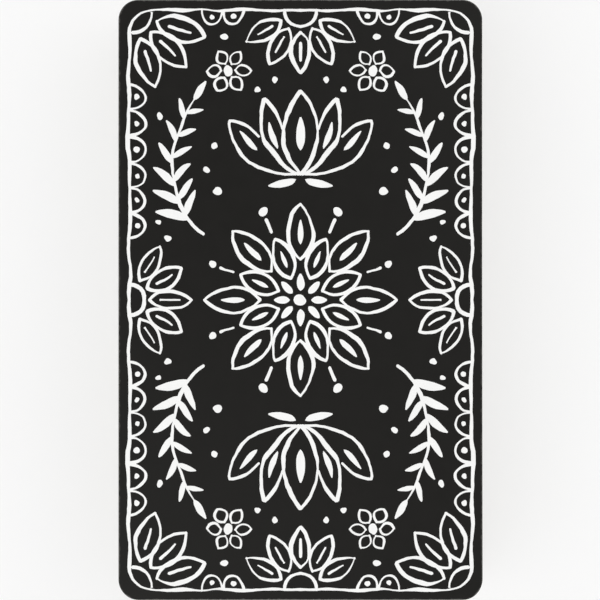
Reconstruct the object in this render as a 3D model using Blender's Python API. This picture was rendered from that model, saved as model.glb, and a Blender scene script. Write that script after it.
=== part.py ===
"""Oracle card deck: a squared stack of loose cards lying face down.

Lengths are in metres, +Z is up, and the long side of the cards runs along Y.
"""
import math

import bmesh
import bpy

# One card
CARD_WIDTH = 0.0730
CARD_LENGTH = 0.1206
CARD_THICKNESS = 0.00040
CORNER_RADIUS = 0.0040
CORNER_STEPS = 8

# The deck
CARD_COUNT = 44
AIR_GAP = 0.00005

# How far a hand leaves the cards out of square
SLIP = 0.00018
SKEW = math.radians(0.10)

# The fan turns about the point where the fingers pinch the deck, this far from a short edge
PINCH_INSET = 0.0140

# The turns that spread the slip of the cards without repeating
SLIP_TURN = math.radians(137.50776)
REACH_STEP = 0.75488
SKEW_STEP = 0.56984

# Sizes that follow from those above
CARD_PITCH = CARD_THICKNESS + AIR_GAP
PINCH_Y = PINCH_INSET - CARD_LENGTH / 2


def clear_scene():
    """Remove whatever the scene holds."""
    for old in list(bpy.data.objects):
        bpy.data.objects.remove(old, do_unlink=True)


def make_material(name, colour, roughness):
    """A plain Principled material."""
    material = bpy.data.materials.new(name)
    material.use_nodes = True
    shader = material.node_tree.nodes["Principled BSDF"]
    shader.inputs["Base Color"].default_value = (*colour, 1.0)
    shader.inputs["Roughness"].default_value = roughness
    shader.inputs["Metallic"].default_value = 0.0
    return material


def make_card_mesh(back, paper):
    """One card as a closed solid, its origin at the pinch point of its underside."""
    mesh = bpy.data.meshes.new("card")
    bm = bmesh.new()
    middle = -PINCH_Y
    for x, y in ((-1, -1), (1, -1), (1, 1), (-1, 1)):
        bm.verts.new((x * CARD_WIDTH / 2, middle + y * CARD_LENGTH / 2, 0.0))
    bm.faces.new(bm.verts)
    bmesh.ops.bevel(
        bm,
        geom=bm.verts[:],
        offset=CORNER_RADIUS,
        offset_type="OFFSET",
        segments=CORNER_STEPS,
        profile=0.5,
        affect="VERTICES",
    )
    grown = bmesh.ops.extrude_face_region(bm, geom=bm.faces[:])
    raised = [item for item in grown["geom"] if isinstance(item, bmesh.types.BMVert)]
    bmesh.ops.translate(bm, vec=(0.0, 0.0, CARD_THICKNESS), verts=raised)
    bmesh.ops.recalc_face_normals(bm, faces=bm.faces[:])
    for face in bm.faces:
        face.material_index = 0 if face.normal.z > 0.5 else 1
    bm.to_mesh(mesh)
    bm.free()
    mesh.materials.append(back)
    mesh.materials.append(paper)
    return mesh


def card_name(number):
    """Cards are counted from the bottom of the deck."""
    if number == 1:
        return "bottom_card"
    if number == CARD_COUNT:
        return "top_card"
    return f"card_{number:02d}"


def slip_of(number):
    """Sideways slip and skew of a card; the bottom and top cards lie square."""
    if number in (1, CARD_COUNT):
        return 0.0, 0.0, 0.0
    reach = SLIP * math.sqrt((number * REACH_STEP) % 1.0)
    heading = number * SLIP_TURN
    skew = SKEW * (2.0 * ((number * SKEW_STEP) % 1.0) - 1.0)
    return reach * math.cos(heading), reach * math.sin(heading), skew


def build():
    """The whole deck, each card under an empty on the fan's axis."""
    clear_scene()
    collection = bpy.context.scene.collection
    back = make_material("printed_back", (0.018, 0.017, 0.015), 0.45)
    paper = make_material("card_stock", (0.86, 0.85, 0.81), 0.70)
    mesh = make_card_mesh(back, paper)
    pinch = bpy.data.objects.new("pinch_point", None)
    pinch.empty_display_size = CARD_WIDTH / 10
    pinch.location = (0.0, PINCH_Y, 0.0)
    collection.objects.link(pinch)
    for number in range(1, CARD_COUNT + 1):
        card = bpy.data.objects.new(card_name(number), mesh)
        slip_x, slip_y, skew = slip_of(number)
        card.location = (slip_x, slip_y, (number - 1) * CARD_PITCH)
        card.rotation_euler = (0.0, 0.0, skew)
        card.parent = pinch
        collection.objects.link(card)


build()
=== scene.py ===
"""Oracle card deck lying face down: card bodies, inked backs and the studio round them.

Drawings are in millimetres from the middle of the card, all else is in metres, and angles are in degrees.
"""

import math
from typing import NamedTuple

import bmesh
import bpy
from bpy.props import FloatProperty, FloatVectorProperty, PointerProperty
from mathutils import Matrix, Vector, noise
from mathutils.geometry import delaunay_2d_cdt


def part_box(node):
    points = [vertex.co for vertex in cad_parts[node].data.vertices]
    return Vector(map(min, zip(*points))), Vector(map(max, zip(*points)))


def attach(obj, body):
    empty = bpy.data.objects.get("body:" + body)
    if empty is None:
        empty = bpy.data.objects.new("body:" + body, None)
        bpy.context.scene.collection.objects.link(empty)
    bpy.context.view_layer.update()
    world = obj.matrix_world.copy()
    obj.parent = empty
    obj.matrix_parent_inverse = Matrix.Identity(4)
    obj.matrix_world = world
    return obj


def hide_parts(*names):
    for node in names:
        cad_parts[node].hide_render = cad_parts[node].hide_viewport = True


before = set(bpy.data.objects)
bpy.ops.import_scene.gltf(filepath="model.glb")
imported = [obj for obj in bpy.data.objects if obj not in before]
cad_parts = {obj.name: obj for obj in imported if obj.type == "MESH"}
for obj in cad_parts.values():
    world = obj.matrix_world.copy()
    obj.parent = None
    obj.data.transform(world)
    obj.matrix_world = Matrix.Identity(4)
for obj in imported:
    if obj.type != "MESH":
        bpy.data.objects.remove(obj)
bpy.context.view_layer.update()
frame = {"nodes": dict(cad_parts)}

bl_info = {
    "name": "Oracle card deck",
    "version": (1, 0, 0),
    "blender": (4, 5, 0),
    "location": "View3D > Sidebar > Cards",
    "description": "Dresses a deck of loose cards with inked backs, paper edges and a studio",
    "category": "Object",
}

# A millimetre, a length too small to matter, and the decimals that tell two points apart
MM = 0.001
TINY = 1e-7
DECIMALS = 7

# Name in the frame of the card on top
TOP_CARD = "top_card"

# A card's body: steps of its corners, bend of its rims as a share of their rounding, angle of sharp edges
CORNER_STEPS = 12
RIM_BEND = 0.3
SHARP_FROM = 35

# Material slots of a card's body
BACK_INK, CUT_EDGE, FACE_PAPER, FACE_INK = range(4)

# Bake map of a body: its back and face lie side by side, and its edge in strips above them
BAKE_MAP = "OFBake"
BAKE_SCALE = 6.5
BAKE_BACK, BAKE_FACE = (0.25, 0.42), (0.75, 0.42)
BAKE_EDGE, BAKE_STRIP = 0.86, 0.026

# Bake map of a print: its middle, and how far the design reaches from there
BAKE_MIDDLE, BAKE_REACH = (0.5, 0.5), 0.48

# Widths of the inked lines, and how a line starts and ends as factors on its width
BOLD, PLAIN, FINE = 0.66, 0.56, 0.47
EVEN, FADING, GROWING, POINTED = (1.05, 1.0), (1.0, 0.9), (0.8, 1.1), (1.15, 0.75)

# How far apart the points of a drawn curve are, and how many it has at least
POINT_STEP = 0.8
CURVE_POINTS, ARC_POINTS, DOT_POINTS = 8, 6, 16

# The unsteady hand: rates of its noise per millimetre, the noise's layers, and the share of each effect
SLOW, QUICK = 0.19, 0.8
SWAY_LAYERS = (3.1, 9.7)
PRESSURE_LAYER, LEFT_LAYER, RIGHT_LAYER, DOT_LAYER = 17.3, 21.4, 25.8, 5.5
SHAKE, ROUGH, NIB, UNROUND = 0.25, 0.45, 0.22, 0.45

# The direction in which the nib draws its broadest line
NIB_TURN = 54

# How near a middle line the hand is steady, and how near it a motif lies on it
STEADY_WITHIN = 1.5
ON_MIDDLE = 0.01

# Directions of the points of a line's round end, off its heading
CAP_TURNS = (-64, -38, -13, 13, 38, 64)

# Curve handles along one side of a leaf and of a petal: share of its length, and share of its bulge
LEAF_SIDE = ((0.175, 1.35), (0.72, 1.0), (1.0, 0.16))
PETAL_SIDE = ((0.30, 1.45), (0.78, 0.95), (1.0, 0.0))
PETAL_SWELL = 0.15

# Border rule, and scallops hung from it: clear of the middle, clear of the corner, how many
BORDER_INSET, BORDER_RADIUS = 2.1, 4.4
TOP_SCALLOPS = (11.2, 14.4, 2)
SIDE_SCALLOPS = (12.2, 15.0, 6)
SCALLOP_GAP, SCALLOP_LEAN, SCALLOP_DROP = 0.1, 0.3, 0.84
SCALLOP_SEED, SCALLOP_SEED_DROP = 0.54, 0.36

# Rosette in the middle: two rings of petals, each as first and last distance from the middle, and bulge
ROSETTE_HEART = 1.15
OUTER_TURNS, INNER_TURNS = (0, 45, 90), (22.5, 67.5)
HEART_LEAVES = ((2.0, 5.4), 0.85)
OUTER_PETALS, OUTER_VEINS = ((8.2, 19.2), 2.75), ((11.2, 16.0), 0.62)
INNER_PETALS, INNER_VEINS = ((4.9, 13.0), 2.3), ((7.0, 10.4), 0.5)
RAY_SPAN, RAY_SEED = (14.6, 17.4), (19.3, 0.8)

# Right half of the open flower above it, from its foot and before it is scaled
LOTUS_FOOT, LOTUS_SCALE = 25.2, 1.14
LOTUS_PETAL = ((0.0, 0.0), (0.0, 14.6), 3.2)
LOTUS_BACKS = (
    ((0.4, 0.0), (5.4, 2.2), (8.0, 7.5), (6.4, 13.2)),
    ((1.0, 0.1), (8.6, 0.2), (12.8, 3.8), (12.4, 9.6)),
)
LOTUS_FRONTS = (
    ((6.4, 13.2), (4.8, 11.9), (3.7, 10.1), (3.0, 8.2)),
    ((12.4, 9.6), (10.6, 9.4), (8.9, 8.6), (7.2, 6.9)),
)
LOTUS_VEINS = (
    ((0.0, 4.2), (0.0, 10.2), 0.84),
    ((4.2, 4.3), (5.5, 9.4), 0.55),
    ((7.6, 4.3), (10.7, 7.6), 0.60),
)
LOTUS_SEPAL, LOTUS_SEPAL_BOW = ((0.8, -0.8), (5.6, -1.9), 0.75), -0.4

# Flowers that grow out of the border: reach, bulge and directions of the petals, and turn of the heart
SIDE_FAN = (12.4, 2.05, (180, 150, 120), (180, 90))
END_FAN = (12.4, 2.05, (270, 300, 330), (270, 360))
CORNER_FAN = (15.4, 2.6, (198, 225, 252), (180, 270))
CORNER_FAN_INSET = 0.6

# Shares of such a flower's reach
FAN_HEART, FAN_ROOT, FAN_VEIN = 0.25, 0.34, (0.52, 0.8)

# Leafy spray: its stem, the stretch of it with leaves, the step over which a leaf takes the stem's
# direction, and for each side the leaves' spread and length
SPRAY_STEM = ((19.6, 13.4), (26.0, 17.0), (28.4, 30.0), (21.4, 40.2))
SPRAY_LEAVES, SPRAY_STEP = (0.17, 0.88), 0.01
SPRAY_PAIRS, SPRAY_TAPER, SPRAY_STAGGER = 6, 0.36, 0.035
SPRAY_SIDES = ((1, 51, 5.6), (-1, 38, 6.6))
SPRAY_BULGE, SPRAY_BOW = 0.15, 0.08
SPRAY_TIP, SPRAY_TIP_BULGE = 4.6, 0.87

# Small flower: place, reach and number of petals; and shares of its reach
FLORET = ((14.4, 46.0), 4.5, 6)
FLORET_HEART, FLORET_ROOT, FLORET_BULGE = 0.2, 0.32, 0.28

# Seeds strewn between the motifs: place and radius
SEEDS = (
    ((16.6, 21.8), 0.75),
    ((19.0, 26.4), 0.62),
    ((17.2, 31.0), 0.70),
    ((5.2, 44.4), 0.72),
    ((8.6, 42.2), 0.60),
    ((15.4, 53.0), 0.66),
    ((28.2, 36.8), 0.70),
    ((26.6, 12.4), 0.66),
    ((28.4, 15.6), 0.55),
)

# Faces: a rule, and a flower whose petals differ in number from card to card and share out their bulge
FACE_INSET, FACE_RADIUS = 6.0, 2.5
FACE_PETALS = (5, 6, 7, 8, 9, 10, 11, 12)
FACE_HEART = 2.1
FACE_PETAL_SPAN, FACE_PETAL_BULGES = (4.6, 17.0), 29.0
FACE_VEIN_SPAN, FACE_VEIN_BULGE = (8.6, 13.4), 0.62
FACE_LEAF_SPAN, FACE_LEAF_BULGE = (13.0, 21.0), 1.0

# Noises: scale per metre, detail and roughness; and their middle and the range they nearly always keep to
FIBRE_NOISE = (5200.0, 2.0, 0.5)
BLOTCH_NOISE = (260.0, 3.0, 0.6)
RUB_NOISE = (900.0, 4.0, 0.65)
CLOUD_NOISE = (30.0, 3.0, 0.5)
NOISE_MIDDLE, NOISE_SPAN = 0.5, (0.3, 0.7)

# Card stock: each run of fibres as its turn and its stretch, and how far the relief shows in each finish
FIBRE_HEIGHT = 0.00002
FIBRE_RUNS = ((29, 0.22), (-40, 0.30))
INK_RELIEF, EDGE_RELIEF, FACE_RELIEF = 0.16, 0.5, 0.2
INK_SPECULAR, PAPER_SPECULAR = 0.18, 0.25

# Inks: roughness and how far it varies, and the share by which the colour does
BACK_ROUGHNESS, FACE_ROUGHNESS, LINE_ROUGHNESS, INK_GLOSS = 0.46, 0.50, 0.52, 0.025
BLACK_DEPTH, WHITE_DEPTH = 0.06, 0.025
INK_FINE_SHARE, INK_DENSITY_SPAN = 0.6, (0.5, 1.1)

# Bare paper: shades of its fibres, its roughness, and what ages, stains and soils it
FIBRE_SHADES, PAPER_ROUGHNESS = (0.93, 1.03), (0.68, 0.82)
AGED_TINT, MOST_AGED = (0.80, 0.76, 0.66), 0.45
STAIN_TINT, STAIN_SPAN, MOST_STAINED = (0.55, 0.52, 0.47), (0.52, 0.75), 0.35
SOIL_TINT = (0.62, 0.58, 0.52)

# Rubbed rims: how far in the rubbing reaches, how far noise moves that, and how strong it is
RUB_PATCHES = 0.0009
BACK_RUB_REACH, BACK_RUB, BACK_RUB_SHADE = 0.00028, 0.18, 0.5
FACE_SOIL_REACH, FACE_SOIL = 0.0012, 0.35

# Stage: the floor lies just under the deck, and lamps shine from an azimuth and elevation
FLOOR_SIZE, FLOOR_DROP = 6.0, 0.00002
FLOOR_CLOUD_SHADE, FLOOR_ROUGHNESS = 0.995, 0.95
KEY_WAY, SIDE_WAY, LAMP_SPREAD = (-40, 54), (130, 50), 64
SKY_STOPS, SKY_TOP = (0.0, 0.45, 0.95), 0.30
SENSOR, CLIP_NEAR, CLIP_FAR = 36.0, 0.01, 20.0


# Drawing with an unsteady pen


def polar(radius, degrees, middle=(0.0, 0.0)):
    """Point at a distance and direction from another."""
    turn = math.radians(degrees)
    return middle[0] + radius * math.cos(turn), middle[1] + radius * math.sin(turn)


def full_turn(count, start=0.0):
    """Directions spread evenly round a full turn."""
    return [start + 360 * i / count for i in range(count)]


def direction(start, end):
    """Direction from one point to another."""
    return math.degrees(math.atan2(end[1] - start[1], end[0] - start[0]))


def on_curve(handles, share):
    """Point on a cubic curve."""
    a, b, c, d = (Vector(handle) for handle in handles)
    rest = 1.0 - share
    return tuple(rest**3 * a + 3 * rest**2 * share * b + 3 * rest * share**2 * c + share**3 * d)


def curve(handles):
    """Points along a cubic curve."""
    length = sum(math.dist(a, b) for a, b in zip(handles, handles[1:]))
    count = max(CURVE_POINTS, round(length / POINT_STEP))
    return [on_curve(handles, i / count) for i in range(count + 1)]


def arc(middle, radius, start, end):
    """Points along part of a circle."""
    count = max(ARC_POINTS, round(abs(math.radians(end - start)) * radius / POINT_STEP))
    return [polar(radius, start + (end - start) * i / count, middle) for i in range(count + 1)]


def straight(start, end):
    """Points along a straight line."""
    count = max(1, round(math.dist(start, end) / POINT_STEP))
    return [tuple(Vector(start).lerp(Vector(end), i / count)) for i in range(count + 1)]


def flank(base, tip, side, bulge, bow=0.0):
    """One side of a leaf or petal as a curve; bow bends its middle to the left."""
    along = Vector(tip) - Vector(base)
    left = Vector((-along.y, along.x)).normalized()
    handles = [Vector(base)]
    for share, reach in side:
        offset = bulge * reach + 4 * bow * share * (1 - share)
        handles.append(handles[0] + along * share + left * offset)
    return curve(handles)


def drift(point, rate, layer):
    """Smooth noise over the card, about -0.5 to 0.5."""
    return noise.noise(Vector((point[0] * rate, point[1] * rate, layer)))


def mirrors(*points):
    """Axes that a motif is mirrored along: not the one across a middle line that it lies on."""
    return "".join(axis for axis, values in zip("xy", zip(*points)) if max(map(abs, values)) > ON_MIDDLE)


class Pen:
    """Draws motifs and keeps their outlines, with the copies that mirror them along x, y or both."""

    def __init__(self, look):
        self.look = look
        self.outlines = []

    def sway(self, point):
        """Where an unsteady hand puts a point; it is steady near the middle lines."""
        moved = []
        for value, layer in zip(point, SWAY_LAYERS):
            stray = drift(point, SLOW, layer) + SHAKE * drift(point, QUICK, layer)
            moved.append(value + self.look.wobble / MM * stray * min(abs(value) / STEADY_WITHIN, 1.0))
        return tuple(moved)

    def press(self, point, heading, layer):
        """Factor on half a stroke's width: the hand's pressure, a broad nib and a rough edge."""
        nib = NIB * math.cos(math.radians(2 * (heading - NIB_TURN)))
        uneven = drift(point, SLOW, PRESSURE_LAYER) + ROUGH * drift(point, QUICK, layer) + nib
        return 1.0 + self.look.uneven * uneven

    def add(self, outline, mirror):
        """Keep an outline and its mirrored copies, each running anticlockwise."""
        for flip_x in (1, -1) if "x" in mirror else (1,):
            for flip_y in (1, -1) if "y" in mirror else (1,):
                copy = [(flip_x * x, flip_y * y) for x, y in outline]
                self.outlines.append(copy if flip_x == flip_y else copy[::-1])

    def line(self, points, width, ends=EVEN, swell=0.0, mirror="xy"):
        """A stroke with round ends; ends and swell are factors on its width at its ends and middle."""
        points = [self.sway(point) for point in points]
        last = len(points) - 1
        left, right, caps = [], [], []
        for i, point in enumerate(points):
            heading = direction(points[max(i - 1, 0)], points[min(i + 1, last)])
            share = i / last
            half = ends[0] + (ends[1] - ends[0]) * share + swell * math.sin(math.pi * share)
            half *= self.look.weight * width / 2
            left.append(polar(half * self.press(point, heading, LEFT_LAYER), heading + 90, point))
            right.append(polar(half * self.press(point, heading, RIGHT_LAYER), heading - 90, point))
            if i in (0, last):
                out = heading if i else heading + 180
                caps.append([polar(half, out + turn, point) for turn in CAP_TURNS])
        self.add(right + caps[1] + left[::-1] + caps[0], mirror)

    def blot(self, points, mirror):
        """A filled shape."""
        points = [self.sway(point) for point in points]
        area = sum(a[0] * b[1] - b[0] * a[1] for a, b in zip(points, points[1:] + points[:1]))
        self.add(points if area > 0 else points[::-1], mirror)

    def dot(self, middle, radius):
        """A filled dot that isn't quite round."""
        points = []
        for turn in full_turn(DOT_POINTS):
            bulge = UNROUND * drift(polar(1.0, turn, middle), QUICK, DOT_LAYER)
            points.append(polar(radius * (1.0 + bulge), turn, middle))
        self.blot(points, mirrors(middle))

    def leaf(self, base, tip, bulge, bow=0.0, mirror=None):
        """A filled leaf with a blunt tip."""
        left, right = (flank(base, tip, LEAF_SIDE, side * bulge, bow) for side in (1, -1))
        self.blot(left + right[:0:-1], mirrors(base, tip) if mirror is None else mirror)

    def petal(self, base, tip, bulge, width, mirror=None):
        """An outlined petal: two strokes from its base to its tip."""
        mirror = mirrors(base, tip) if mirror is None else mirror
        for side in (1, -1):
            self.line(flank(base, tip, PETAL_SIDE, side * bulge), width, FADING, PETAL_SWELL, mirror)


# The back design: the upper right quarter of the card, mirrored both ways


def quarter_rule(wide, tall, radius):
    """A quarter of a rounded frame, from the top's middle to the side's middle."""
    corner = (wide - radius, tall - radius)
    top = straight((0.0, tall), (corner[0], tall))
    side = straight((wide, corner[1]), (wide, 0.0))
    return top + arc(corner, radius, 90, 0)[1:-1] + side


def draw_scallops(pen, layout, length, place):
    """A row of scallops with a seed in each; place takes a distance along the rule and one inwards."""
    start, margin, count = layout
    pitch = (length - margin - start) / count
    drop = SCALLOP_DROP * pitch
    for i in range(count):
        first = start + i * pitch
        last = first + pitch
        down = (first + SCALLOP_GAP, 0.0), (first + SCALLOP_LEAN, drop)
        up = (last - SCALLOP_LEAN, drop), (last - SCALLOP_GAP, 0.0)
        pen.line(curve([place(*spot) for spot in down + up]), FINE)
        pen.dot(place(first + pitch / 2, drop * SCALLOP_SEED_DROP), SCALLOP_SEED)


def draw_ring(draw, turns, span, bulge, middle=(0.0, 0.0), **more):
    """Leaves or petals round a middle, from one distance to another."""
    for turn in turns:
        draw(polar(span[0], turn, middle), polar(span[1], turn, middle), bulge, **more)


def draw_rosette(pen):
    """The round flower in the middle."""
    pen.dot((0.0, 0.0), ROSETTE_HEART)
    draw_ring(pen.leaf, OUTER_TURNS, *HEART_LEAVES)
    draw_ring(pen.petal, OUTER_TURNS, *OUTER_PETALS, width=PLAIN)
    draw_ring(pen.leaf, OUTER_TURNS, *OUTER_VEINS)
    draw_ring(pen.petal, INNER_TURNS, *INNER_PETALS, width=PLAIN)
    draw_ring(pen.leaf, INNER_TURNS, *INNER_VEINS)
    for turn in INNER_TURNS:
        pen.line(straight(polar(RAY_SPAN[0], turn), polar(RAY_SPAN[1], turn)), PLAIN, GROWING)
        pen.dot(polar(RAY_SEED[0], turn), RAY_SEED[1])


def draw_lotus(pen):
    """The open flower above the rosette."""

    def at(point):
        return point[0] * LOTUS_SCALE, LOTUS_FOOT + point[1] * LOTUS_SCALE

    base, tip, bulge = LOTUS_PETAL
    pen.petal(at(base), at(tip), bulge * LOTUS_SCALE, BOLD)
    for handles in LOTUS_BACKS:
        pen.line(curve([at(handle) for handle in handles]), BOLD, FADING)
    for handles in LOTUS_FRONTS:
        pen.line(curve([at(handle) for handle in handles]), PLAIN, FADING)
    for base, tip, bulge in LOTUS_VEINS:
        pen.leaf(at(base), at(tip), bulge * LOTUS_SCALE)
    base, tip, bulge = LOTUS_SEPAL
    pen.leaf(at(base), at(tip), bulge * LOTUS_SCALE, LOTUS_SEPAL_BOW)


def draw_fan(pen, middle, reach, bulge, turns, heart):
    """A flower that grows out of the border, with a round heart over part of a turn."""
    draw_ring(pen.petal, turns, (reach * FAN_ROOT, reach), bulge, middle, width=PLAIN)
    for turn in turns:
        root, end = (polar(reach * share, turn, middle) for share in FAN_VEIN)
        pen.line(straight(root, end), FINE, POINTED, mirror=mirrors(root, end))
    pen.line(arc(middle, reach * FAN_HEART, *heart), PLAIN)


def draw_spray(pen):
    """A bent stem with leaves on both sides and one at its end."""
    pen.line(curve(SPRAY_STEM), PLAIN, POINTED)
    first, last = SPRAY_LEAVES
    for k in range(SPRAY_PAIRS):
        share = k / (SPRAY_PAIRS - 1)
        for side, spread, length in SPRAY_SIDES:
            along = first + (last - first) * share + max(side, 0) * SPRAY_STAGGER
            base = on_curve(SPRAY_STEM, along)
            heading = direction(base, on_curve(SPRAY_STEM, along + SPRAY_STEP)) + side * spread
            reach = length * (1.0 - SPRAY_TAPER * share)
            pen.leaf(base, polar(reach, heading, base), reach * SPRAY_BULGE, -side * reach * SPRAY_BOW)
    end = SPRAY_STEM[-1]
    pen.leaf(end, polar(SPRAY_TIP, direction(SPRAY_STEM[-2], end), end), SPRAY_TIP_BULGE)


def draw_floret(pen, middle, reach, petals):
    """A small outlined flower."""
    pen.dot(middle, reach * FLORET_HEART)
    span, bulge = (reach * FLORET_ROOT, reach), reach * FLORET_BULGE
    draw_ring(pen.petal, full_turn(petals), span, bulge, middle, width=FINE, mirror="xy")


def draw_back(pen, size):
    """The whole back design."""
    wide, tall = size.half_wide - BORDER_INSET, size.half_tall - BORDER_INSET
    pen.line(quarter_rule(wide, tall, BORDER_RADIUS), PLAIN)
    draw_scallops(pen, TOP_SCALLOPS, wide, lambda along, inward: (along, tall - inward))
    draw_scallops(pen, SIDE_SCALLOPS, tall, lambda along, inward: (wide - inward, along))
    draw_rosette(pen)
    draw_lotus(pen)
    draw_fan(pen, (wide, 0.0), *SIDE_FAN)
    draw_fan(pen, (0.0, tall), *END_FAN)
    draw_fan(pen, (wide - CORNER_FAN_INSET, tall - CORNER_FAN_INSET), *CORNER_FAN)
    draw_spray(pen)
    draw_floret(pen, *FLORET)
    for place, radius in SEEDS:
        pen.dot(place, radius)


def draw_face(pen, size, petals):
    """A plain face: a rule round it and one flower."""
    pen.line(quarter_rule(size.half_wide - FACE_INSET, size.half_tall - FACE_INSET, FACE_RADIUS), PLAIN)
    pen.dot((0.0, 0.0), FACE_HEART)
    upright, between = full_turn(petals, 90), full_turn(petals, 90 + 180 / petals)
    bulge = FACE_PETAL_BULGES / petals
    draw_ring(pen.petal, upright, FACE_PETAL_SPAN, bulge, width=PLAIN, mirror="")
    draw_ring(pen.leaf, upright, FACE_VEIN_SPAN, FACE_VEIN_BULGE, mirror="")
    draw_ring(pen.leaf, between, FACE_LEAF_SPAN, FACE_LEAF_BULGE, mirror="")


# Meshes


class CardSize(NamedTuple):
    """Half width, half length and corner radius in millimetres, and thickness in metres."""

    half_wide: float
    half_tall: float
    radius: float
    thickness: float


def node_points(node):
    """A CAD node's corner points, each once."""
    points = {tuple(round(c, DECIMALS) for c in node.matrix_world @ v.co) for v in node.data.vertices}
    return [Vector(point) for point in sorted(points)]


def card_size():
    """Sizes of the top card, which lies square to the axes; its round corners start where its sides end."""
    low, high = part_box(TOP_CARD)
    side_end = max(p.y for p in node_points(frame["nodes"][TOP_CARD]) if high[0] - p.x < TINY)
    half_wide, half_tall = (high[0] - low[0]) / 2 / MM, (high[1] - low[1]) / 2 / MM
    return CardSize(half_wide, half_tall, (high[1] - side_end) / MM, high[2] - low[2])


def card_place(node):
    """Where a card lies: the middle of its underside, and its turn about the upright."""
    points = node_points(node)
    middle = sum(points, Vector()) / len(points)
    far = [p for p in points if p.y > middle.y]
    near = [p for p in points if p.y <= middle.y]
    along = sum(far, Vector()) / len(far) - sum(near, Vector()) / len(near)
    spot = Vector((middle.x, middle.y, min(p.z for p in points)))
    return Matrix.Translation(spot) @ Matrix.Rotation(math.atan2(-along.x, along.y), 4, "Z")


def place_card_piece(name, mesh, body):
    """Put a copy of a mesh on a card and let it ride there."""
    piece = bpy.data.objects.new(name, mesh)
    bpy.context.scene.collection.objects.link(piece)
    piece.matrix_world = card_place(frame["nodes"][body])
    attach(piece, body)
    return piece


def card_outline(size, inset):
    """Rounded rectangle, anticlockwise, in millimetres."""
    x, y = size.half_wide - size.radius, size.half_tall - size.radius
    points = []
    for middle, start in (((x, -y), -90), ((x, y), 0), ((-x, y), 90), ((-x, -y), 180)):
        for i in range(CORNER_STEPS + 1):
            points.append(polar(size.radius - inset, start + 90 * i / CORNER_STEPS, middle))
    return points


def merged(outlines):
    """Overlapping outlines as one flat sheet: its points, its triangles and what covers each of them."""
    points, faces = [], []
    for outline in outlines:
        faces.append(list(range(len(points), len(points) + len(outline))))
        points.extend(Vector(point) for point in outline)
    only_inside, snap = 1, 1e-4
    points, _, triangles, _, _, covers = delaunay_2d_cdt(points, [], faces, only_inside, snap)
    return points, triangles, covers


def map_flat(layer, faces, middle, scale):
    """Map flat faces as seen from above, with the card's middle at a point of the map."""
    for face in faces:
        for corner in face.loops:
            x, y, _ = corner.vert.co
            corner[layer].uv = (middle[0] + x * scale, middle[1] + y * scale)


def make_print_mesh(outlines, height):
    """The white lines as one sheet that faces up."""
    points, triangles, over = merged(outlines)
    inked = [triangle for triangle, covers in zip(triangles, over) if covers]
    mesh = bpy.data.meshes.new("back_print")
    mesh.from_pydata([(p.x * MM, p.y * MM, height) for p in points], [], inked)
    bm = bmesh.new()
    bm.from_mesh(mesh)
    bmesh.ops.dissolve_degenerate(bm, dist=TINY, edges=bm.edges[:])
    bmesh.ops.delete(bm, geom=[v for v in bm.verts if not v.link_faces], context="VERTS")
    bmesh.ops.reverse_faces(bm, faces=[face for face in bm.faces if face.normal.z < 0])
    scale = BAKE_REACH / max(abs(v.co.y) for v in bm.verts)
    map_flat(bm.loops.layers.uv.new(BAKE_MAP), bm.faces, BAKE_MIDDLE, scale)
    bm.to_mesh(mesh)
    bm.free()
    return mesh


def rim_levels(size, look):
    """Inset and height of each outline round a card's edge, from its face to its back."""
    low, high, rim = look.ink_layer, size.thickness - look.ink_layer, look.edge_round
    bend = rim * RIM_BEND
    lower = (rim, low), (bend, low + bend), (0.0, low + rim)
    upper = (0.0, high - rim), (bend, high - bend), (rim, high)
    return lower + upper


def add_edge(bm, size, look):
    """A card's edge, paper with back ink on its upper rim. Gives the outline that is left open on top."""
    layer = bm.loops.layers.uv[BAKE_MAP]
    loops = []
    for inset, z in rim_levels(size, look):
        loops.append([bm.verts.new((x * MM, y * MM, z)) for x, y in card_outline(size, inset / MM)])
    count = len(loops[0])
    for step, (lower, upper) in enumerate(zip(loops, loops[1:])):
        for i in range(count):
            after = (i + 1) % count
            face = bm.faces.new((lower[i], lower[after], upper[after], upper[i]))
            face.material_index = BACK_INK if lower[i].co.z > size.thickness / 2 else CUT_EDGE
            face.smooth = True
            spots = (i, step), (i + 1, step), (i + 1, step + 1), (i, step + 1)
            for corner, (u, v) in zip(face.loops, spots):
                corner[layer].uv = (u / count, BAKE_EDGE + BAKE_STRIP * v)
    return loops[-1]


def make_body_mesh(size, look, drawing):
    """One card: black back, paper edge, and a paper face with its drawing."""
    bm = bmesh.new()
    layer = bm.loops.layers.uv.new(BAKE_MAP)
    back = bm.faces.new(add_edge(bm, size, look))
    back.material_index = BACK_INK
    map_flat(layer, [back], BAKE_BACK, BAKE_SCALE)
    points, triangles, over = merged([card_outline(size, look.edge_round / MM)] + drawing)
    placed = [bm.verts.new((p.x * MM, p.y * MM, look.ink_layer)) for p in points]
    for triangle, covers in zip(triangles, over):
        face = bm.faces.new([placed[i] for i in reversed(triangle)])
        face.material_index = FACE_INK if any(covers) else FACE_PAPER
        map_flat(layer, [face], BAKE_FACE, BAKE_SCALE)
    bmesh.ops.remove_doubles(bm, verts=bm.verts[:], dist=TINY)
    mesh = bpy.data.meshes.new("card_body")
    bm.to_mesh(mesh)
    bm.free()
    mesh.set_sharp_from_angle(angle=math.radians(SHARP_FROM))
    return mesh


# Materials


def feed(tree, value, socket):
    """Give a socket its value: a link from another socket, or a plain number or colour."""
    if isinstance(value, bpy.types.NodeSocket):
        tree.links.new(value, socket)
    else:
        socket.default_value = value


def add_node(tree, kind, inputs=(), **settings):
    """A shader node with its settings, and with its inputs fed by name or number."""
    node = tree.nodes.new("ShaderNode" + kind)
    for label, value in settings.items():
        setattr(node, label, value)
    for label, value in dict(inputs).items():
        feed(tree, value, node.inputs[label])
    return node


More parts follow.
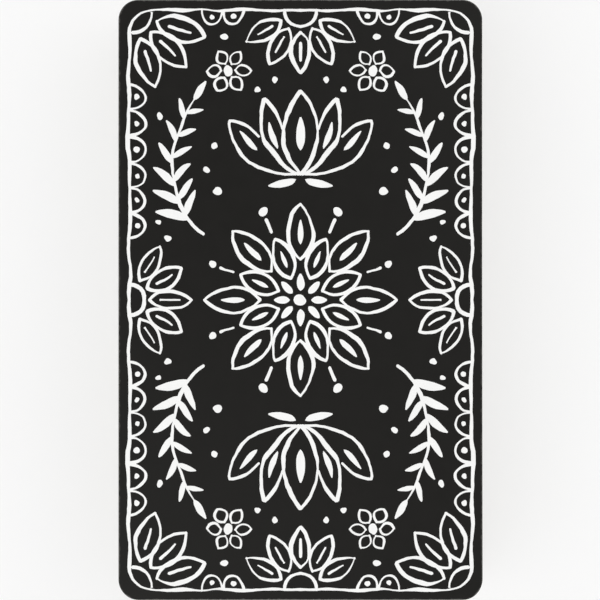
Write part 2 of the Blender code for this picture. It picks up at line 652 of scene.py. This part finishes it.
def add_noise(tree, vector, settings):
    """Noise from 0 to 1."""
    scale, detail, roughness = settings
    inputs = {"Vector": vector, "Scale": scale, "Detail": detail, "Roughness": roughness}
    return add_node(tree, "TexNoise", inputs).outputs["Fac"]


def add_math(tree, operation, *values):
    """Arithmetic on numbers."""
    return add_node(tree, "Math", enumerate(values), operation=operation).outputs[0]


def add_vector_math(tree, operation, *vectors):
    """Arithmetic on vectors."""
    return add_node(tree, "VectorMath", enumerate(vectors), operation=operation).outputs["Vector"]


def add_range(tree, value, low, high, to_low=0.0, to_high=1.0):
    """A smooth ramp from one range to another."""
    inputs = {"Value": value, "From Min": low, "From Max": high, "To Min": to_low, "To Max": to_high}
    return add_node(tree, "MapRange", inputs, interpolation_type="SMOOTHSTEP").outputs["Result"]


def add_mix(tree, factor, first, second):
    """A mix of two colours, with the node's colour sockets picked by number."""
    return add_node(tree, "Mix", {0: factor, 6: first, 7: second}, data_type="RGBA").outputs[2]


def new_group(name, inputs, outputs):
    """A shader node group with its sockets: the tree, its input node and its output node."""
    tree = bpy.data.node_groups.new(name, "ShaderNodeTree")
    for label, value in inputs.items():
        socket = tree.interface.new_socket(label, in_out="INPUT", socket_type="NodeSocketFloat")
        socket.default_value = value
    for label, kind in outputs.items():
        tree.interface.new_socket(label, in_out="OUTPUT", socket_type=kind)
    return tree, tree.nodes.new("NodeGroupInput"), tree.nodes.new("NodeGroupOutput")


def card_spot(tree):
    """Place on a card, moved by a random number of its own, so that no two cards have the same grain."""
    spot = add_node(tree, "TexCoord").outputs["Object"]
    return add_vector_math(tree, "ADD", spot, add_node(tree, "ObjectInfo").outputs["Random"])


def make_stock_group():
    """Card stock: fine fibres as a bump, and a fine and a broad unevenness as values from 0 to 1."""
    outputs = {"Normal": "NodeSocketVector", "Fine": "NodeSocketFloat", "Broad": "NodeSocketFloat"}
    tree, given, result = new_group("Card stock", {"Relief": FACE_RELIEF}, outputs)
    spot = card_spot(tree)
    runs = []
    for turn, stretch in FIBRE_RUNS:
        rotation = (0.0, 0.0, math.radians(turn))
        inputs = {"Vector": spot, "Rotation": rotation, "Scale": (1.0, stretch, 1.0)}
        runs.append(add_noise(tree, add_node(tree, "Mapping", inputs).outputs[0], FIBRE_NOISE))
    fibres = add_math(tree, "MULTIPLY", add_math(tree, "ADD", *runs), 1.0 / len(runs))
    inputs = {"Strength": given.outputs["Relief"], "Distance": FIBRE_HEIGHT, "Height": fibres}
    feed(tree, add_node(tree, "Bump", inputs).outputs[0], result.inputs["Normal"])
    feed(tree, fibres, result.inputs["Fine"])
    feed(tree, add_noise(tree, spot, BLOTCH_NOISE), result.inputs["Broad"])
    return tree


def stock_group():
    """The card stock group, built the first time it is asked for."""
    return bpy.data.node_groups.get("Card stock") or make_stock_group()


def make_rub_group(size):
    """Rubbed rim: 1 on the card's outline, falling to 0 a little inside it, broken up by noise."""
    inputs = {"Reach": BACK_RUB_REACH, "Patches": RUB_PATCHES}
    tree, given, result = new_group("Rubbed rim", inputs, {"Mask": "NodeSocketFloat"})
    corner = ((size.half_wide - size.radius) * MM, (size.half_tall - size.radius) * MM, 0.0)
    flat = add_vector_math(tree, "MULTIPLY", add_node(tree, "TexCoord").outputs["Object"], (1.0, 1.0, 0.0))
    beyond = add_vector_math(tree, "SUBTRACT", add_vector_math(tree, "ABSOLUTE", flat), corner)
    beyond = add_vector_math(tree, "MAXIMUM", beyond, (0.0, 0.0, 0.0))
    length = add_node(tree, "VectorMath", {0: beyond}, operation="LENGTH").outputs["Value"]
    inside = add_math(tree, "SUBTRACT", size.radius * MM, length)
    patchy = add_math(tree, "SUBTRACT", add_noise(tree, card_spot(tree), RUB_NOISE), NOISE_MIDDLE)
    shift = add_math(tree, "MULTIPLY", patchy, given.outputs["Patches"])
    inside = add_math(tree, "SUBTRACT", inside, shift)
    feed(tree, add_range(tree, inside, given.outputs["Reach"], 0.0), result.inputs["Mask"])
    return tree


def shade(colour, *factors):
    """A colour made lighter or darker, by one factor or by one for each channel."""
    factors = factors * 3 if len(factors) == 1 else factors
    return (*(channel * factor for channel, factor in zip(colour, factors)), 1.0)


def new_material(name):
    """A material, its tree and its shader."""
    material = bpy.data.materials.new(name)
    material.use_nodes = True
    return material, material.node_tree, material.node_tree.nodes["Principled BSDF"]


def new_finish(name, stock, relief, specular):
    """A material on card stock: the material, its tree, its shader and the unevenness of the stock."""
    material, tree, shader = new_material(name)
    grain = add_node(tree, "Group", {"Relief": relief}, node_tree=stock)
    feed(tree, grain.outputs["Normal"], shader.inputs["Normal"])
    shader.inputs["Specular IOR Level"].default_value = specular
    return material, tree, shader, grain.outputs


def add_rub(tree, rub, reach, strength):
    """How far the rim is rubbed, from 0 to its strength."""
    mask = add_node(tree, "Group", {"Reach": reach}, node_tree=rub).outputs["Mask"]
    return add_math(tree, "MULTIPLY", mask, strength)


def make_ink(name, colour, stock, roughness, depth, rub=None, bare=None):
    """Printed ink: uneven density and gloss, and where it is rubbed the bare paper shows through."""
    material, tree, shader, grain = new_finish(name, stock, INK_RELIEF, INK_SPECULAR)
    fine = add_math(tree, "MULTIPLY", grain["Fine"], INK_FINE_SHARE)
    density = add_range(tree, add_math(tree, "ADD", grain["Broad"], fine), *INK_DENSITY_SPAN)
    base = add_mix(tree, density, shade(colour, 1.0 - depth), shade(colour, 1.0 + depth))
    if rub is not None:
        worn = add_rub(tree, rub, BACK_RUB_REACH, BACK_RUB)
        base = add_mix(tree, worn, base, shade(bare, BACK_RUB_SHADE))
    gloss = add_range(tree, grain["Broad"], *NOISE_SPAN, roughness - INK_GLOSS, roughness + INK_GLOSS)
    feed(tree, base, shader.inputs["Base Color"])
    feed(tree, gloss, shader.inputs["Roughness"])
    return material


def new_paper(name, colour, stock, relief):
    """Bare card stock: the material, its tree, its shader, its colour so far and the stock's unevenness."""
    material, tree, shader, grain = new_finish(name, stock, relief, PAPER_SPECULAR)
    dark, light = (shade(colour, factor) for factor in FIBRE_SHADES)
    base = add_mix(tree, add_range(tree, grain["Fine"], *NOISE_SPAN), dark, light)
    feed(tree, add_range(tree, grain["Fine"], *NOISE_SPAN, *PAPER_ROUGHNESS), shader.inputs["Roughness"])
    return material, tree, shader, base, grain


def make_cut_edge(look, stock):
    """The cut edge: stock in a tint of each card's own, with stains."""
    material, tree, shader, base, grain = new_paper("cut_edge", look.paper, stock, EDGE_RELIEF)
    own = add_node(tree, "ObjectInfo").outputs["Random"]
    base = add_mix(tree, add_math(tree, "MULTIPLY", own, MOST_AGED), base, shade(look.paper, *AGED_TINT))
    stain = add_range(tree, grain["Broad"], *STAIN_SPAN, 0.0, MOST_STAINED)
    base = add_mix(tree, stain, base, shade(look.paper, *STAIN_TINT))
    feed(tree, base, shader.inputs["Base Color"])
    return material


def make_face_paper(look, stock, rub):
    """The face: bare stock, a little soiled by fingers along its rim."""
    material, tree, shader, base, _ = new_paper("face_paper", look.paper, stock, FACE_RELIEF)
    soil = add_rub(tree, rub, FACE_SOIL_REACH, FACE_SOIL)
    feed(tree, add_mix(tree, soil, base, shade(look.paper, *SOIL_TINT)), shader.inputs["Base Color"])
    return material


def make_body_finishes(look, size):
    """The materials of a card's body, in the order of its slots."""
    stock, rub = stock_group(), make_rub_group(size)
    back_ink = make_ink("back_ink", look.black_ink, stock, BACK_ROUGHNESS, BLACK_DEPTH, rub, look.paper)
    face_ink = make_ink("face_ink", look.black_ink, stock, FACE_ROUGHNESS, BLACK_DEPTH)
    return back_ink, make_cut_edge(look, stock), make_face_paper(look, stock, rub), face_ink


# Stage


def make_floor_paper(look):
    """White paper; seen directly, part of its white is its own, so shadows on it stay faint."""
    material, tree, shader = new_material("floor_paper")
    white = shade(look.floor, 1.0)
    cloud = add_noise(tree, add_node(tree, "TexCoord").outputs["Object"], CLOUD_NOISE)
    cloud = add_range(tree, cloud, *NOISE_SPAN)
    base = add_mix(tree, cloud, shade(look.floor, FLOOR_CLOUD_SHADE), white)
    feed(tree, base, shader.inputs["Base Color"])
    shader.inputs["Roughness"].default_value = FLOOR_ROUGHNESS
    shader.inputs["Specular IOR Level"].default_value = 0.0
    rays = add_node(tree, "LightPath").outputs
    seen = add_math(tree, "MAXIMUM", rays["Is Glossy Ray"], rays["Is Transmission Ray"])
    seen = add_math(tree, "MAXIMUM", rays["Is Camera Ray"], seen)
    own = add_math(tree, "MULTIPLY", seen, look.floor_glow)
    glow = add_node(tree, "Emission", {"Color": white})
    both = add_node(tree, "MixShader", {0: own, 1: shader.outputs[0], 2: glow.outputs[0]})
    feed(tree, both.outputs[0], tree.nodes["Material Output"].inputs["Surface"])
    return material


def make_floor(look):
    """A wide sheet of paper under the deck."""
    mesh = bpy.data.meshes.new("floor")
    bm = bmesh.new()
    bmesh.ops.create_grid(bm, x_segments=1, y_segments=1, size=FLOOR_SIZE)
    bm.to_mesh(mesh)
    bm.free()
    mesh.materials.append(make_floor_paper(look))
    floor = bpy.data.objects.new("floor", mesh)
    floor.location.z = -FLOOR_DROP
    bpy.context.scene.collection.objects.link(floor)


def make_world(look):
    """Soft light from all sides, less from straight above; at eye level it is the plain backdrop."""
    world = bpy.data.worlds.new("studio")
    world.use_nodes = True
    tree = world.node_tree
    tree.nodes.clear()
    way = add_node(tree, "SeparateXYZ", {0: add_node(tree, "TexCoord").outputs["Generated"]})
    ramp = add_node(tree, "ValToRGB", {0: way.outputs["Z"]})
    ramp.color_ramp.interpolation = "EASE"
    stops = ramp.color_ramp.elements
    stops.new(SKY_STOPS[1])
    colours = look.backdrop, [look.sky] * 3, [SKY_TOP] * 3
    for stop, position, colour in zip(stops, SKY_STOPS, colours):
        stop.position = position
        stop.color = (*colour, 1.0)
    light = add_node(tree, "Background", {"Color": ramp.outputs["Color"]})
    add_node(tree, "OutputWorld", {"Surface": light.outputs[0]})
    bpy.context.scene.world = world


def make_lamp(name, way, strength):
    """A broad soft lamp far away."""
    data = bpy.data.lights.new(name, "SUN")
    data.energy = strength
    data.angle = math.radians(LAMP_SPREAD)
    lamp = bpy.data.objects.new(name, data)
    azimuth, elevation = (math.radians(angle) for angle in way)
    across = math.cos(elevation)
    lamp.location = (math.sin(azimuth) * across, -math.cos(azimuth) * across, math.sin(elevation))
    lamp.rotation_mode = "QUATERNION"
    lamp.rotation_quaternion = lamp.location.to_track_quat("Z", "Y")
    bpy.context.scene.collection.objects.link(lamp)


def make_camera(look):
    """Straight down on the top card, which fills the frame from top to bottom."""
    low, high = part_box(TOP_CARD)
    data = bpy.data.cameras.new("camera")
    data.lens = look.lens
    data.sensor_width = SENSOR
    data.sensor_fit = "HORIZONTAL"
    data.clip_start = CLIP_NEAR
    data.clip_end = CLIP_FAR
    camera = bpy.data.objects.new("camera", data)
    distance = (high[1] - low[1]) * look.margin * look.lens / SENSOR
    camera.location = (*look.aim, high[2] + distance)
    bpy.context.scene.collection.objects.link(camera)
    bpy.context.scene.camera = camera


# Settings


class DeckLook(bpy.types.PropertyGroup):
    """How the cards look."""

    black_ink: FloatVectorProperty(
        name="Black ink",
        description="Colour of the printed ground on the backs",
        subtype="COLOR",
        min=0.0,
        max=1.0,
        default=(0.0080, 0.0074, 0.0063),
    )
    white_ink: FloatVectorProperty(
        name="White ink",
        description="Colour of the lines on the backs",
        subtype="COLOR",
        min=0.0,
        max=1.0,
        default=(0.935, 0.935, 0.925),
    )
    paper: FloatVectorProperty(
        name="Paper",
        description="Colour of the card stock on faces and edges",
        subtype="COLOR",
        min=0.0,
        max=1.0,
        default=(0.80, 0.78, 0.72),
    )
    ink_layer: FloatProperty(
        name="Ink layer",
        description="Height of the white lines over the black ground",
        unit="LENGTH",
        default=0.000012,
        precision=6,
    )
    edge_round: FloatProperty(
        name="Edge rounding",
        description="Radius that the die leaves along a card's rims",
        unit="LENGTH",
        default=0.00006,
        precision=6,
    )
    weight: FloatProperty(
        name="Line weight",
        description="Factor on the width of every inked line",
        subtype="FACTOR",
        default=1.0,
        min=0.4,
        max=2.5,
    )
    wobble: FloatProperty(
        name="Hand wobble",
        description="How far the hand strays from a drawn line",
        unit="LENGTH",
        default=0.00042,
        min=0.0,
        max=0.001,
        precision=6,
    )
    uneven: FloatProperty(
        name="Uneven ink",
        description="Share by which the width of a line varies",
        subtype="FACTOR",
        default=0.76,
        min=0.0,
        max=0.9,
    )


class StageLook(bpy.types.PropertyGroup):
    """How the studio looks."""

    floor: FloatVectorProperty(
        name="Floor",
        description="Colour of the floor",
        subtype="COLOR",
        min=0.0,
        max=1.0,
        default=(0.97, 0.97, 0.97),
    )
    floor_glow: FloatProperty(
        name="Floor glow",
        description="Share of the floor's white that needs no light",
        subtype="FACTOR",
        default=0.5,
        min=0.0,
        max=1.0,
    )
    backdrop: FloatVectorProperty(
        name="Backdrop",
        description="Colour behind the floor",
        subtype="COLOR",
        min=0.0,
        max=1.0,
        default=(0.965, 0.965, 0.965),
    )
    sky: FloatProperty(
        name="Fill light",
        description="Strength of the soft light halfway up the sky",
        default=1.15,
        min=0.0,
        max=5.0,
    )
    key: FloatProperty(
        name="Key light",
        description="Strength of the main lamp",
        default=0.71,
        min=0.0,
        max=10.0,
    )
    side: FloatProperty(
        name="Side light",
        description="Strength of the lamp across from the main one",
        default=0.44,
        min=0.0,
        max=10.0,
    )
    lens: FloatProperty(
        name="Lens",
        description="Focal length of the camera in millimetres",
        unit="CAMERA",
        default=135.0,
        min=20.0,
        max=400.0,
    )
    margin: FloatProperty(
        name="Framing",
        description="Frame height as a share of the card's length",
        subtype="FACTOR",
        default=0.9994,
        min=0.5,
        max=4.0,
        precision=4,
    )
    aim: FloatVectorProperty(
        name="Aim",
        description="Point of the top card under the camera",
        size=2,
        unit="LENGTH",
        default=(-0.000103, -0.000016),
        precision=6,
    )


# Operators


class DECK_OT_card_bodies(bpy.types.Operator):
    """Build every card with its black back, paper edge and face"""

    bl_idname = "card_deck.bodies"
    bl_label = "Card bodies"

    def execute(self, context):
        look = context.scene.deck_look
        size = card_size()
        finishes = make_body_finishes(look, size)
        meshes = []
        for petals in FACE_PETALS:
            pen = Pen(look)
            draw_face(pen, size, petals)
            mesh = make_body_mesh(size, look, pen.outlines)
            for finish in finishes:
                mesh.materials.append(finish)
            meshes.append(mesh)
        for i, name in enumerate(frame["nodes"]):
            piece = place_card_piece(f"{name}_body", meshes[i % len(meshes)], name)
            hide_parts(name)
        return {"FINISHED"}


class DECK_OT_back_prints(bpy.types.Operator):
    """Print the white line design on the back of every card"""

    bl_idname = "card_deck.prints"
    bl_label = "Back prints"

    def execute(self, context):
        look = context.scene.deck_look
        size = card_size()
        pen = Pen(look)
        draw_back(pen, size)
        mesh = make_print_mesh(pen.outlines, size.thickness)
        ink = make_ink("white_ink", look.white_ink, stock_group(), LINE_ROUGHNESS, WHITE_DEPTH)
        mesh.materials.append(ink)
        for name in frame["nodes"]:
            place_card_piece(f"{name}_print", mesh, name)
        return {"FINISHED"}


class DECK_OT_stage(bpy.types.Operator):
    """Set up the floor, the light and the camera"""

    bl_idname = "card_deck.stage"
    bl_label = "Stage"

    def execute(self, context):
        look = context.scene.deck_stage
        make_floor(look)
        make_world(look)
        make_lamp("key_lamp", KEY_WAY, look.key)
        make_lamp("side_lamp", SIDE_WAY, look.side)
        make_camera(look)
        context.scene.view_settings.view_transform = "Standard"
        return {"FINISHED"}


class DECK_PT_panel(bpy.types.Panel):
    """Settings and steps of the card deck"""

    bl_idname = "DECK_PT_panel"
    bl_label = "Oracle card deck"
    bl_space_type = "VIEW_3D"
    bl_region_type = "UI"
    bl_category = "Cards"

    def draw(self, context):
        column = self.layout.column()
        for settings in (context.scene.deck_look, context.scene.deck_stage):
            for label in settings.__annotations__:
                column.prop(settings, label)
        for step in STEPS:
            column.operator(step.bl_idname)


STEPS = (DECK_OT_card_bodies, DECK_OT_back_prints, DECK_OT_stage)
CLASSES = (DeckLook, StageLook, *STEPS, DECK_PT_panel)


def register():
    """Add the settings, steps and panel."""
    for item in CLASSES:
        bpy.utils.register_class(item)
    bpy.types.Scene.deck_look = PointerProperty(type=DeckLook)
    bpy.types.Scene.deck_stage = PointerProperty(type=StageLook)


def unregister():
    """Take them away again."""
    del bpy.types.Scene.deck_stage
    del bpy.types.Scene.deck_look
    for item in reversed(CLASSES):
        bpy.utils.unregister_class(item)


def main():
    """Dress the deck and set the stage."""
    register()
    bpy.ops.card_deck.bodies()
    bpy.ops.card_deck.prints()
    bpy.ops.card_deck.stage()


if __name__ == "__main__":
    main()
